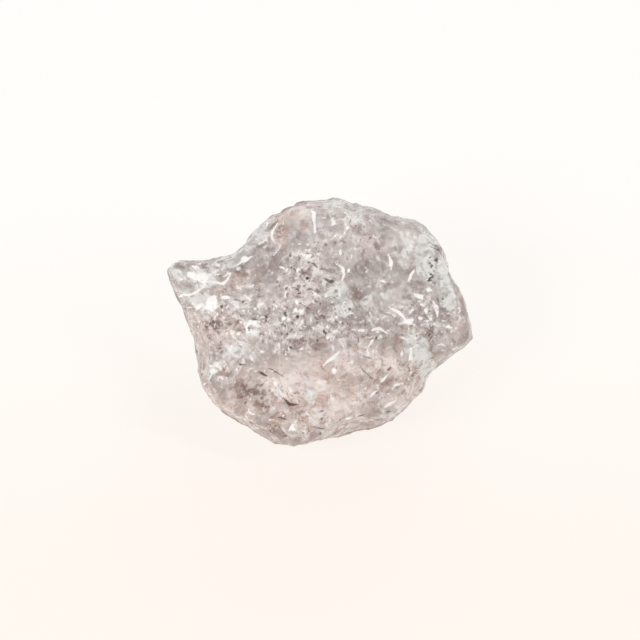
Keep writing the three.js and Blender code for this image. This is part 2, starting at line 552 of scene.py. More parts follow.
@dataclass(frozen=True)
class Stroke:
    """A thin mark along a line. Its points are pixels, and its width and rise are millimetres on the stone.

    It narrows towards its ends, to end_width times its width, and tip is the share of its length that is
    narrowest at each end.
    """

    tone: Tone
    points: tuple
    width: float = 0.11
    strength: float = 1.0
    rise: float = 0.0
    end_width: float = 0.45
    tip: float = 0.04

    def weight(self, places: np.ndarray, caster: "Caster") -> np.ndarray:
        """How strong the mark is at each vertex.

        Args:
            places: the vertices, in metres.
            caster: what finds the stone under a place of the picture.

        Returns:
            A value for each vertex.
        """
        line = caster.line(self.points)
        best = np.zeros(len(places))
        if len(line) < 2:
            return best
        close = np.flatnonzero(((places > line.min(0) - MM) & (places < line.max(0) + MM)).all(1))
        near = places[close]
        lengths = np.linalg.norm(np.diff(line, axis=0), axis=1)
        gone = np.concatenate(([0.0], np.cumsum(lengths)))
        found = np.zeros(len(near))
        for index, (start, end) in enumerate(zip(line[:-1], line[1:])):
            step = end - start
            share = np.clip(((near - start) @ step) / max(step @ step, 1e-12), 0, 1)
            gap = np.linalg.norm(near - start - share[:, None] * step, axis=1)
            run = (gone[index] + share * lengths[index]) / max(gone[-1], 1e-9)
            swell = np.sin(np.pi * np.clip(run, self.tip, 1 - self.tip))
            width = self.width * MM * (self.end_width + (1 - self.end_width) * swell)
            found = np.maximum(found, np.exp(-(gap / width) ** 2))
        best[close] = self.strength * found
        return best


def spots(tone: Tone, width: float, *places: tuple) -> tuple:
    """Small round marks, as strokes one pixel long.

    Args:
        tone: what they do.
        width: how wide they are, in millimetres.
        places: their pixels.

    Returns:
        Their strokes.
    """
    return tuple(Stroke(tone, ((x - 0.5, y), (x + 0.5, y)), width) for x, y in places)


@dataclass
class Caster:
    """Finds the stone's surface under places of the picture. A line is cast in steps of about step pixels."""

    view: PhotoView
    eye: np.ndarray
    tree: BVHTree
    step: float = 2.0

    def at(self, x: float, y: float) -> np.ndarray | None:
        """The place on the stone that shows at a pixel.

        Args:
            x: how far the pixel is from the picture's left side.
            y: how far it is from the top.

        Returns:
            The place, in metres, or nothing where the stone doesn't show.
        """
        across, down = x - PICTURE / 2, y - PICTURE / 2
        way = np.array((1.0, 0.0, 0.0)) * across - self.view.up * down - self.view.back * self.view.focal
        hit = self.tree.ray_cast(Vector(self.eye), Vector(way).normalized())[0]
        return None if hit is None else np.array(hit)

    def line(self, points: tuple) -> np.ndarray:
        """A line on the stone through pixels.

        Args:
            points: the pixels.

        Returns:
            Rows of places, in metres.
        """
        found = []
        for start, end in zip(points[:-1], points[1:]):
            steps = max(1, round(math.dist(start, end) / self.step))
            for number in range(steps + 1):
                share = number / steps
                place = self.at(*(first + (last - first) * share for first, last in zip(start, end)))
                if place is not None:
                    found.append(place)
        return np.array(found)


# Soft ovals by tone: x, y, half width, half height, the turn where it isn't 0, the strength where it isn't 1.
OVALS = {
    Tone.MILK: (
        (258, 236, 22, 7, 42, 0.85), (228, 260, 24, 8, 25), (192, 276, 22, 8, -12),
        (178, 272, 9, 10, 0, 0.8), (190, 298, 14, 9, -30, 0.9), (338, 204, 13, 5), (357, 216, 9, 6, 0, 0.6),
        (405, 250, 15, 24, 0, 0.42), (424, 257, 7, 20, 0, 1.3), (433, 262, 15, 24, 15),
        (446, 292, 9, 18, 15, 0.8), (334, 291, 13, 10, 0, 1.3), (343, 309, 9, 6), (417, 348, 11, 16, 40),
        (428, 370, 8, 12, 10), (452, 352, 20, 4, 30, 0.6), (404, 322, 9, 9, 0, 0.5),
        (211, 370, 11, 4, 12, 0.75), (204, 303, 9, 8), (375, 296, 40, 7, 18, 0.42),
        (312, 396, 9, 14, 0, 0.5), (322, 414, 12, 9, 0, 0.45), (235, 352, 22, 7, -10, 0.55),
        (390, 412, 28, 7, 30, 0.4), (270, 395, 6, 18, -35, 0.35), (356, 215, 10, 4, 60, 0.8),
        (398, 412, 14, 5, 35, 0.6),
    ),
    Tone.WARM: (
        (300, 398, 130, 44, 5, 1.1), (276, 222, 20, 13, 30), (380, 368, 46, 34), (240, 352, 50, 14, 0, 0.4),
        (456, 322, 13, 20, 0, 0.6), (300, 295, 26, 20, 0, 0.35), (213, 330, 26, 20),
        (285, 430, 44, 12, -10, 0.8), (230, 410, 26, 12, -40, 0.9), (236, 280, 26, 9, 22, 0.8),
        (374, 245, 12, 10, 0, 0.45), (455, 318, 14, 16, 0, 0.5), (278, 232, 8, 11, 20, 1.3),
        (292, 212, 32, 8, 24, 1.1), (280, 231, 8, 7), (303, 222, 7, 6, 0, 1.2),
    ),
    Tone.DARK: (
        (266, 226, 16, 6, 42, 0.3), (290, 435, 34, 8, -6, 0.6), (225, 412, 22, 6, -42, 0.35),
        (262, 404, 9, 8, 0, 0.6), (250, 395, 22, 13, -28), (265, 406, 7, 6, 0, 1.1),
        (247, 388, 12, 5, 20, 1.1), (214, 326, 20, 13, 0, 0.6), (440, 248, 5, 7, -20, 1.3),
        (373, 246, 12, 11, 0, 0.85), (180, 266, 10, 4, -35, 0.7), (229, 374, 9, 4, 0, 0.7),
        (276, 229, 9, 12, 20, 0.9), (290, 208, 32, 5, 24, 0.5), (452, 355, 18, 5, 30, 0.6),
        (418, 283, 5, 4, 0, 0.7), (409, 297, 5, 3, 0, 0.8), (256, 289, 4, 4, 0, 0.8),
        (306, 282, 22, 26, 0, 0.4), (357, 290, 8, 11, 10, 0.95), (210, 325, 12, 9, -10, 1.1),
        (300, 343, 34, 6, -6, 0.7), (389, 284, 13, 4, 0, 0.6), (260, 300, 26, 14, 0, 0.3),
        (330, 248, 30, 12, 0, 0.25), (210, 376, 24, 4, 12, 0.5), (443, 250, 6, 12, 30, 0.6),
        (345, 325, 40, 6, 8, 0.35), (303, 222, 7, 6, 0, 0.55), (331, 268, 9, 8, 0, 0.35),
        (358, 226, 8, 5, 0, 0.45), (385, 385, 10, 5, 0, 0.35), (289, 434, 10, 4, 0, 1.1),
    ),
    Tone.BUSY: (
        (305, 278, 26, 30), (300, 325, 90, 22), (430, 315, 26, 30, 0, 0.9), (400, 375, 34, 26, 0, 0.6),
        (230, 300, 40, 22, 0, 0.7), (272, 392, 10, 16, -35, 0.5), (350, 225, 34, 18, 0, 0.45),
        (300, 420, 60, 18, 0, 0.5), (210, 268, 26, 10, 0, 0.7), (436, 262, 9, 20, 0, 0.6),
    ),
    # Painted highlights.
    Tone.GLINT: (
        (191, 276, 6, 3.5), (203, 277, 5, 4.5), (195, 266, 7, 3, 0, 0.65), (212, 303, 5, 8, -15, 0.8),
        (225, 299, 4, 2.5, 20, 0.9), (198, 307, 5, 2, 30, 0.9), (428, 290, 2.5, 2, 0, 0.9),
        (427, 311, 2, 3, 0, 0.9), (423, 304, 3, 2, 0, 0.7), (422, 320, 2.5, 2, 0, 0.8),
        (412, 311, 2, 2, 0, 0.7), (409, 322, 6, 3, 0, 0.8), (245, 260, 4, 3, 0, 0.8),
        (238, 289, 3.2, 2, 0, 0.65), (277, 384, 2.6, 2.6, 0, 0.75), (291, 390, 2, 3.4, 30, 0.7),
        (309, 393, 5, 5, 0, 0.5), (333, 372, 2.2, 2.5, 0, 0.9), (292, 431, 3, 2, 0, 0.6),
        (292, 424, 2.5, 1.4, 0, 0.6), (282, 394, 3, 7, 40, 0.5), (245, 419, 3, 2, -30, 0.6),
        (254, 331, 5, 2.5, 10, 0.6),
    ),
    Tone.STAIN: (
        (331, 280, 3.4, 1.9), (266, 407, 3, 3.4, 0, 0.55),
    ),
    Tone.PALE: (
        (432, 264, 12, 22, 10), (302, 384, 34, 20, 10, 1.5), (335, 404, 44, 12, 12, 0.9),
        (346, 243, 34, 17, 0, 0.9), (405, 398, 26, 12, 30, 0.7), (215, 405, 14, 10, -40, 0.6),
        (336, 366, 28, 12, 0, 0.9), (404, 241, 18, 21, 0, 1.1), (454, 330, 16, 18, 0, 0.8),
        (300, 330, 56, 14, 0, 0.7), (176, 268, 11, 8, 0, 1.3), (330, 218, 44, 14),
        (378, 370, 28, 18, 0, 0.75), (335, 292, 13, 10, 0, 0.9), (305, 276, 20, 24, 0, 1.2),
        (390, 300, 22, 9, 18, 0.5), (252, 302, 24, 10, 0, 0.5), (372, 364, 12, 9, -35, 0.9),
        (344, 355, 18, 16, 0, 0.6), (194, 278, 18, 12),
    ),
    # Where the painted shade along the outline is strong.
    Tone.RIM: (
        (184, 302, 20, 36), (226, 412, 36, 26), (292, 438, 42, 12), (350, 432, 40, 12), (405, 406, 28, 24),
        (452, 362, 26, 16), (470, 324, 9, 26), (288, 208, 36, 14), (398, 218, 22, 6, 0, 0.6),
    ),
}
# White strokes, painted highlights: width in millimetres, strength, and the pixels that they run through.
GLINTS = (
    (0.11, 1, (311, 208), (314, 216), (315, 229)),
    (0.11, 1, (335, 262), (343, 267), (345, 274), (343, 281)), (0.1, 1, (389, 253), (392, 260), (392, 269)),
    (0.11, 1, (415, 270), (411, 275), (409, 281)),
    (0.11, 1, (387, 306), (398, 312), (405, 318), (411, 324)), (0.1, 1, (301, 349), (303, 350)),
    (0.1, 1, (339, 351), (333, 358), (323, 366)), (0.1, 1, (277, 221), (272, 230), (271, 237), (275, 243)),
    (0.08, 0.8, (282, 240), (279, 248), (273, 255)),
    (0.1, 1, (205, 281), (215, 283), (223, 284), (228, 278), (231, 272)),
    (0.1, 1, (234, 267), (244, 260), (253, 256)), (0.1, 1, (179, 297), (192, 294), (203, 288)),
    (0.1, 1, (245, 326), (250, 321), (259, 323)), (0.08, 1, (246, 328), (253, 331)),
    (0.1, 1, (411, 350), (414, 361)), (0.1, 1, (381, 382), (388, 377)),
    (0.16, 1, (186, 275), (196, 279), (206, 276)), (0.2, 1, (205, 308), (210, 300), (215, 297)),
    (0.16, 1, (206, 305), (213, 309)), (0.11, 1, (331, 219), (334, 224)), (0.08, 1, (371, 218), (372, 223)),
    (0.1, 1, (302, 254), (306, 258), (310, 253)), (0.11, 1, (315, 231), (316, 233)),
    (0.08, 0.8, (187, 302), (196, 306)), (0.08, 0.8, (185, 308), (193, 310)),
    (0.11, 1, (288, 431), (291, 427), (295, 430)), (0.13, 1, (333, 372), (334, 374)),
    (0.1, 1, (274, 384), (277, 384)), (0.11, 1, (350, 268), (350, 271)), (0.1, 0.8, (349, 316), (342, 312)),
    (0.18, 0.9, (414, 293), (419, 296), (424, 299)), (0.15, 0.9, (434, 301), (437, 307), (438, 316)),
    (0.11, 1, (340, 249), (341, 254)), (0.12, 1, (333, 218), (334, 223), (331, 225)),
    (0.11, 1, (297, 274), (297, 270), (301, 270)), (0.11, 1, (296, 298), (298, 305)),
    (0.14, 1, (247, 323), (253, 323), (259, 327)), (0.12, 1, (245, 326), (247, 332), (253, 331)),
    (0.1, 1, (246, 294), (250, 299)), (0.1, 1, (292, 314), (294, 310), (296, 313)),
    (0.1, 0.8, (303, 319), (298, 326)), (0.09, 0.7, (280, 292), (285, 291), (291, 292)),
    (0.12, 0.9, (358, 332), (366, 331)), (0.12, 0.8, (372, 331), (380, 329), (388, 334)),
    (0.12, 0.8, (400, 337), (409, 340)), (0.11, 0.9, (370, 345), (374, 339)),
    (0.13, 1, (412, 348), (411, 361)), (0.09, 0.8, (403, 350), (402, 357)),
    (0.1, 0.8, (397, 369), (392, 364)), (0.13, 1, (381, 382), (389, 375)),
    (0.11, 0.9, (371, 397), (376, 392)), (0.09, 0.8, (364, 391), (368, 387)),
    (0.13, 0.7, (384, 409), (396, 402)), (0.11, 0.8, (345, 420), (352, 418)),
)
# Brown strokes, in the same way.
STAINS = (
    (0.11, 0.8, (217, 350), (221, 348)), (0.08, 0.6, (262, 401), (268, 404), (274, 403)),
    (0.08, 0.5, (171, 281), (180, 300), (189, 322)), (0.12, 0.8, (448, 271), (451, 278)),
    (0.1, 0.7, (463, 312), (467, 328)), (0.1, 0.7, (425, 227), (424, 232)),
    (0.07, 0.5, (399, 300), (408, 306), (412, 312)), (0.09, 0.6, (422, 292), (426, 299), (431, 303)),
    (0.1, 0.7, (429, 332), (434, 340)), (0.08, 0.6, (328, 262), (335, 258), (343, 259)),
    (0.08, 0.5, (333, 247), (342, 240), (351, 243)), (0.1, 0.9, (429, 242), (434, 244), (439, 246)),
    (0.12, 0.8, (433, 247), (439, 249), (443, 254)), (0.08, 0.9, (429, 258), (432, 256)),
    (0.11, 1, (434, 258), (437, 260), (440, 262)), (0.1, 1, (439, 257), (437, 259)),
    (0.09, 1, (430, 263), (433, 265), (432, 268)), (0.08, 0.9, (427, 267), (429, 268)),
    (0.07, 0.8, (433, 269), (436, 271)), (0.09, 1, (430, 272), (433, 275), (434, 277)),
    (0.09, 1, (434, 277), (430, 278), (431, 280), (427, 280)), (0.16, 1, (324, 278), (332, 281)),
    (0.11, 1, (289, 346), (293, 349)), (0.11, 1, (316, 340), (319, 342)), (0.11, 1, (325, 332), (327, 334)),
    (0.09, 0.7, (309, 243), (317, 247), (321, 254)), (0.1, 0.8, (284, 266), (293, 269), (298, 274)),
    (0.1, 0.8, (308, 260), (314, 263), (317, 268)), (0.1, 0.7, (293, 239), (303, 234)),
    (0.08, 0.7, (338, 240), (349, 243), (356, 249)), (0.09, 0.7, (388, 267), (391, 278)),
    (0.1, 0.7, (291, 286), (298, 290), (301, 294)), (0.1, 0.8, (300, 301), (307, 306), (313, 312)),
    (0.09, 0.7, (249, 319), (262, 321)), (0.09, 0.7, (352, 349), (362, 355), (376, 360)),
    (0.09, 0.7, (355, 361), (364, 371), (375, 381)), (0.09, 0.7, (376, 375), (383, 370)),
    (0.13, 0.7, (409, 367), (411, 374)), (0.09, 0.7, (353, 394), (357, 400)),
    (0.11, 0.8, (385, 413), (392, 412)), (0.09, 0.8, (357, 417), (366, 414)),
    (0.1, 0.8, (426, 331), (432, 343)), (0.1, 0.7, (425, 383), (420, 393)),
    (0.07, 0.5, (300, 262), (310, 272), (318, 286)), (0.07, 0.6, (296, 300), (308, 306), (316, 314)),
)
# Brown strokes in fine grooves: width in millimetres, strength, rise in millimetres, and their pixels.
CUTS = (
    (0.1, 0.4, -0.04, (203, 357), (213, 361), (226, 363)), (0.1, 0.8, -0.04, (238, 364), (251, 365)),
    (0.14, 1, -0.05, (258, 373), (266, 377)), (0.11, 0.8, -0.05, (267, 369), (277, 374), (287, 379)),
    (0.07, 0.35, -0.04, (265, 380), (273, 389), (281, 401)),
    (0.13, 1, -0.04, (283, 399), (289, 405), (298, 406)), (0.12, 0.8, -0.04, (277, 420), (289, 421)),
    (0.1, 0.7, -0.04, (298, 421), (306, 423)), (0.1, 0.7, -0.04, (311, 427), (328, 430)),
    (0.07, 0.5, -0.03, (236, 397), (250, 401), (258, 402)),
    (0.07, 0.5, -0.03, (244, 410), (256, 413), (262, 417)),
    (0.09, 0.6, -0.03, (270, 411), (276, 416), (284, 420)),
    (0.09, 0.7, -0.03, (184, 262), (191, 267), (197, 273)),
    (0.09, 0.6, -0.05, (431, 331), (433, 341), (435, 351), (435, 366)),
    (0.06, 0.3, -0.03, (357, 351), (383, 366)),
    (0.09, 0.45, -0.05, (283, 258), (294, 245), (311, 236), (322, 240)),
)
# Small round marks, by tone and width in millimetres: their pixels. The glint ones are painted highlights.
SPOTS = {
    (Tone.GLINT, 0.11): (
        (310, 250), (319, 205), (347, 228), (335, 236), (340, 237), (358, 240), (355, 248), (323, 272),
        (367, 271), (283, 223), (255, 310), (258, 317), (268, 334), (275, 336), (296, 335), (312, 335),
        (208, 316), (360, 394), (389, 394), (361, 356), (328, 338), (309, 268), (303, 267),
    ),
    (Tone.GLINT, 0.17): (
        (305, 253), (286, 269), (240, 322), (288, 320), (301, 312), (238, 334), (326, 296), (360, 211),
    ),
    (Tone.STAIN, 0.1): (
        (324, 277), (304, 280), (303, 285), (299, 293), (313, 311), (256, 288), (258, 295), (330, 331),
        (318, 346), (209, 338), (341, 383), (377, 394), (340, 421), (387, 338), (396, 364), (369, 281),
        (295, 257),
    ),
    (Tone.STAIN, 0.15): (
        (330, 280), (320, 303), (324, 331), (317, 340), (290, 347), (268, 309), (285, 313), (392, 368),
        (377, 338), (433, 367), (212, 322),
    ),
}

PATCHES = tuple(Patch(tone, *row) for tone, rows in OVALS.items() for row in rows)
STROKES = (
    *(Stroke(Tone.GLINT, tuple(points), width, strength) for width, strength, *points in GLINTS),
    *(Stroke(Tone.STAIN, tuple(points), width, strength) for width, strength, *points in STAINS),
    *(Stroke(Tone.STAIN, tuple(points), width, strength, rise) for width, strength, rise, *points in CUTS),
    *(stroke for (tone, width), places in SPOTS.items() for stroke in spots(tone, width, *places)),
)


@dataclass(frozen=True)
class Curls:
    """Short curved marks: white painted highlights, each with a dark stroke beside it, thickest where the
    stone is busy.

    Places and radii are pixels, sweeps are radians and widths are millimetres.
    """

    count: int = 360
    across: tuple = (172, 466)
    down: tuple = (204, 442)
    radius: tuple = (1.8, 6.0)
    sweep: tuple = (0.7, 2.3)
    width: tuple = (0.065, 0.11)
    squash: float = 0.8
    steps: int = 4
    stray: float = 0.06
    crowding: float = 1.3
    bright: tuple = (0.35, 0.85)
    dull: tuple = (0.25, 0.75)
    edge_pull: float = 0.3
    edge_shift: tuple = (0.8, 1.0)
    edge_width: float = 0.8

    def strokes(self) -> list:
        """Scatters the curls.

        Returns:
            Their strokes.
        """
        chance = random.Random(SEED)
        made = []
        while len(made) < 2 * self.count:
            x, y = chance.uniform(*self.across), chance.uniform(*self.down)
            place = np.array([[x, y]])
            busy = max(mark.weight(place)[0] for mark in PATCHES if mark.tone is Tone.BUSY)
            if chance.random() > self.stray + (1 - self.stray) * busy ** self.crowding:
                continue
            turn = chance.uniform(0, FULL_TURN)
            sweep = chance.uniform(*self.sweep)
            wide = chance.uniform(*self.radius)
            high = self.squash * wide
            angles = [turn + sweep * step / self.steps for step in range(self.steps + 1)]
            arc = [(x + wide * math.cos(angle), y + high * math.sin(angle)) for angle in angles]
            width = chance.uniform(*self.width)
            # The white stroke is a painted highlight.
            made.append(Stroke(Tone.GLINT, tuple(arc), width, chance.uniform(*self.bright)))
            edge = tuple((u + self.edge_pull * (x - u) + self.edge_shift[0],
                          v + self.edge_pull * (y - v) + self.edge_shift[1]) for u, v in arc)
            made.append(Stroke(Tone.STAIN, edge, width * self.edge_width, chance.uniform(*self.dull)))
        return made


class Patterns:
    """What the stone's finish is mixed from: the mesh's marks, and noises whose sizes are millimetres."""

    def __init__(self, recipe: Recipe) -> None:
        """Adds every pattern to a recipe."""
        marks = (recipe.attribute(tone.value) for tone in Tone)
        self.milk, self.warm, self.dark, self.busy, self.glint, self.stain, self.pale, self.rim = marks
        # Nearness to the ridges of the small breaks, used for a painted highlight.
        self.ridge = recipe.attribute("ridge")
        self.calm = 1.0 - self.busy
        self.lively = 0.35 + 0.65 * self.busy
        self.clouds = recipe.noise(4.0, 4.0, 0.6, 0.5)
        self.blots = recipe.noise(1.7, 3.0, 0.6, 0.9)
        self.grain = recipe.noise(0.8, 3.0, 0.6, 0.6)
        self.fine = recipe.noise(0.42, 3.0, 0.6)
        self.dust = recipe.noise(0.2, 2.0, 0.6)
        self.crumbs = recipe.cells(0.42)
        # Cells whose tones and borders are laid as painted light and shade of small facets.
        self.tone = recipe.cells(1.2, "Color", sway=0.9)
        self.border = recipe.cells(1.2, "Distance", "DISTANCE_TO_EDGE", sway=0.9).band(0.07, 0.02)
        self.drawn = recipe.streaks(0.5, 25.0, 3.5)
        self.hair = self.contour(recipe.noise(1.3, 2.0, 0.5, 1.2), 0.5, 0.012) * self.grain.band(0.48, 0.56)
        self.crack = self.contour(recipe.noise(2.3, 3.0, 0.55, 0.8), 0.47, 0.010) * self.fine.band(0.46, 0.54)
        self.specks = recipe.cells(0.95).band(0.17, 0.10) * self.clouds.band(0.46, 0.54)
        self.dots = recipe.cells(0.7).band(0.22, 0.13) * self.blots.band(0.47, 0.55)
        # The painted highlights, from the glint marks.
        self.spark = (self.glint + 0.35 * self.grain - 0.17).band(0.22, 0.72)
        self.ink = (self.stain + 0.35 * self.grain - 0.17).band(0.24, 0.74)
        # The painted shade along the outline, broken up by noise.
        rough_rim_shade = self.rim + 1.1 * self.grain + 0.7 * self.blots - 0.9
        self.edge = rough_rim_shade.band(0.22, 0.85) * self.rim.band(0.02, 0.2)
        self.curd = (self.milk + 0.5 * self.grain + 0.3 * self.fine - 0.4).band(0.30, 0.52)

    @staticmethod
    def contour(height: Flow, level: float, width: float) -> Flow:
        """A thin line where a height crosses a level.

        Args:
            height: the height.
            level: the level.
            width: how far from the level the line fades out.

        Returns:
            1 on the line, 0 off it.
        """
        return (height - level).maths("ABSOLUTE").band(width, width * 0.3)


@dataclass(frozen=True)
class GlassyBeryl:
    """The stone's finish: clear pink beryl with milky, warm and stained places. Relief is in millimetres."""

    ior: float = 1.58
    absorbed: tuple = (0.70, 0.56, 0.50)
    density: float = 20.0
    body: tuple = (0.90, 0.79, 0.775)
    light: tuple = (0.98, 0.915, 0.895)
    cool: tuple = (0.90, 0.905, 0.885)
    grey: tuple = (0.60, 0.58, 0.56)
    pink: tuple = (0.87, 0.53, 0.41)
    peach: tuple = (0.98, 0.73, 0.58)
    shade: tuple = (0.27, 0.18, 0.165)
    white: tuple = (0.98, 0.97, 0.955)
    stain: tuple = (0.10, 0.062, 0.05)
    # The colour of the painted shade along the outline.
    edge: tuple = (0.24, 0.175, 0.155)
    glass: tuple = (1.0, 0.975, 0.96)
    glass_tint: float = 0.35
    unlit: tuple = (0.0, 0.0, 0.0)
    # The glow of the painted highlights.
    spark_glow: tuple = (0.15, 0.145, 0.137)
    milky_roughness: float = 0.22
    relief: float = 0.12

    def layers(self, look: Patterns) -> tuple:
        """The colours that are laid over the body's, from the first to the last.

        Args:
            look: the patterns.

        Returns:
            Pairs of how much of the colour shows, and the colour.
        """
        calm, busy, lively = look.calm, look.busy, look.lively
        warm, dark, clouds, blots = look.warm, look.dark, look.clouds, look.blots
        grain, fine, dust, curd = look.grain, look.fine, look.dust, look.curd
        return (
            (warm * (0.25 + 1.1 * clouds), self.pink),
            (warm * blots.band(0.50, 0.60) * 0.8, self.peach),
            (clouds.band(0.46, 0.60) * 0.35, self.light),
            # painted light and shade: a random tone for each cell, as on small flat facets
            (look.tone.band(0.50, 0.62) * calm * 0.5, self.light),
            (look.tone.band(0.46, 0.36) * calm * 0.25, self.shade),
            (look.pale * (0.35 + 0.9 * grain), self.light),
            (warm * 0.3, self.pink),
            # painted highlight and painted shade along the cell borders, as on the rims of small breaks
            (look.border * clouds.band(0.42, 0.52) * 0.5, self.light),
            (look.border * clouds.band(0.50, 0.42) * 0.4, self.shade),
            (look.drawn.band(0.54, 0.62) * warm * 0.6, self.light),
            (look.drawn.band(0.44, 0.36) * warm * 0.4, self.shade),
            (blots.band(0.50, 0.56) * 0.5, self.light),
            (blots.band(0.45, 0.39) * 0.33, self.shade),
            # painted highlight along the ridges of the small breaks
            (look.ridge * 0.6, self.light),
            (grain.band(0.53, 0.59) * 0.85 * lively, self.light),
            (grain.band(0.46, 0.39) * 0.62 * lively, self.shade),
            (curd * 0.88, self.cool),
            (curd * grain.band(0.50, 0.42) * 0.9, self.grey),
            (dark * (0.4 + 0.6 * grain.band(0.54, 0.44)), self.shade),
            (fine.band(0.56, 0.62) * (0.1 + 0.5 * busy), self.white),
            (dust.band(0.57, 0.66) * (0.06 + 0.16 * busy), self.light),
            (dust.band(0.43, 0.34) * (0.06 + 0.2 * busy), self.shade),
            (fine.band(0.43, 0.37) * (0.1 + 0.8 * busy), self.shade),
            (look.crack * 0.75, self.shade),
            (look.hair * (0.25 + 0.75 * busy), self.white),
            (look.specks * (0.5 + 0.5 * busy), self.stain),
            (look.dots * lively * 0.85, self.white),
            # painted highlights
            (look.spark, self.white),
            # painted shade along the outline
            (look.edge * 0.8, self.edge),
            (look.ink * 0.95, self.stain),
        )

    @staticmethod
    def milkiness(look: Patterns) -> Flow:
        """How much of the milky shader covers the clear one.

        Args:
            look: the patterns.

        Returns:
            A value from 0 to 1.
        """
        grain = look.grain
        clouded = 0.34 + 0.3 * look.pale + 0.2 * look.clouds.band(0.4, 0.62) + 0.4 * look.curd
        # The painted highlights and the painted shade along the outline are laid on the milky shader.
        marked = clouded + 0.35 * look.dark + 0.2 * look.warm + look.spark + look.ink + 0.8 * look.edge
        flawed = marked + look.crack + look.hair * look.busy + look.specks + look.dots * look.lively
        return (flawed + 0.3 * look.lively * (grain.band(0.53, 0.59) + grain.band(0.45, 0.39))).clamped()

    def material(self) -> bpy.types.Material:
        """Mixes the clear and the milky shader.

        Returns:
            The stone's material.
        """
        recipe = Recipe("morganite")
        look = Patterns(recipe)
        colour = self.body
        for share, tint in self.layers(look):
            colour = recipe.blend(share.clamped(), colour, tint)
        lumps = look.blots * 0.4 + look.grain * 0.5 + look.fine * 0.25
        normal = recipe.bump(lumps + look.crumbs * (0.15 + 0.5 * look.busy), self.relief)
        rough = (0.03 + 0.12 * look.clouds.band(0.45, 0.65) + 0.2 * look.milk).clamped()
        clear = recipe.node("ShaderNodeBsdfPrincipled", {}, {
            "Base Color": recipe.blend(self.glass_tint, self.glass, colour), "Roughness": rough,
            "IOR": self.ior, "Transmission Weight": 1.0, "Normal": normal}, "BSDF")
        # The painted highlights also glow a little.
        glow = recipe.blend(look.spark, self.unlit, self.spark_glow)
        milky = recipe.node("ShaderNodeBsdfPrincipled", {}, {
            "Base Color": colour, "Roughness": self.milky_roughness, "IOR": self.ior, "Normal": normal,
            "Emission Color": glow, "Emission Strength": 1.0}, "BSDF")
        shaders = {0: self.milkiness(look), 1: clear, 2: milky}
        mixed = recipe.node("ShaderNodeMixShader", {}, shaders, "Shader")
        volume = recipe.node("ShaderNodeVolumeAbsorption", {}, {
            "Color": self.absorbed, "Density": self.density}, "Volume")
        return recipe.surface(mixed, volume)


def gather(places: np.ndarray, rule: Callable[[Vector], Vector | tuple | float]) -> np.ndarray:
    """Runs a rule on each place and gathers what it gives."""
    return np.array([rule(Vector(place)) for place in places])


@dataclass(frozen=True)
class Breaks:
    """The small hollow breaks of the skin, in three sizes, with sharp ridges between them.

    Sizes, depths and the highest rise are millimetres. Near the rim the large ones are shallower: they reach
    their full depth at calm_reach pixels from it, and calm_least is the least share of it.
    """

    large: float = 1.7
    small: float = 0.75
    tiny: float = 0.38
    bend: float = 0.6
    bend_rate: float = 0.7
    ridge_width: float = 0.10
    small_ridge: float = 0.5
    level: float = 0.5
    large_depth: float = 0.30
    small_depth: float = 0.12
    busy_depth: float = 0.10
    tiny_depth: float = 0.08
    calm_reach: float = 6.0
    calm_least: float = 0.3
    highest: float = 0.1

    def distances(self, at: Vector) -> tuple:
        """How far a place is from the middles of the breaks around it.

        Args:
            at: the place, in millimetres.

        Returns:
            The two nearest distances for the large and the small size, and the nearest for the tiny one.
        """
        bent = at + noise.noise_vector(at * self.bend_rate) * self.bend
        large = noise.voronoi(bent / self.large)[0]
        small = noise.voronoi(bent / self.small)[0]
        tiny = noise.voronoi(at / self.tiny)[0]
        return large[0], large[1], small[0], small[1], tiny[0]

    def cut(self, places: np.ndarray, busy: np.ndarray, inside: np.ndarray) -> tuple:
        """How the breaks change the skin.

        Args:
            places: the vertices, in millimetres.
            busy: how busy the stone is at each.
            inside: how far each is inside the stone's outline in the picture, in pixels.

        Returns:
            The rise of each vertex, in millimetres, and how near it is to a ridge, from 0 to 1.
        """
        found = gather(places, self.distances)
        large, small, tiny = (found[:, column] ** 2 - self.level for column in (0, 2, 4))
        calm = np.clip(inside / self.calm_reach, self.calm_least, 1)
        rise = self.large_depth * calm * large + (self.small_depth + self.busy_depth * busy) * small
        ridge = np.exp(-((found[:, 1] - found[:, 0]) / self.ridge_width) ** 2)
        finer = self.small_ridge * np.exp(-((found[:, 3] - found[:, 2]) / self.ridge_width) ** 2)
        return rise + self.tiny_depth * busy * tiny, np.maximum(ridge, finer)


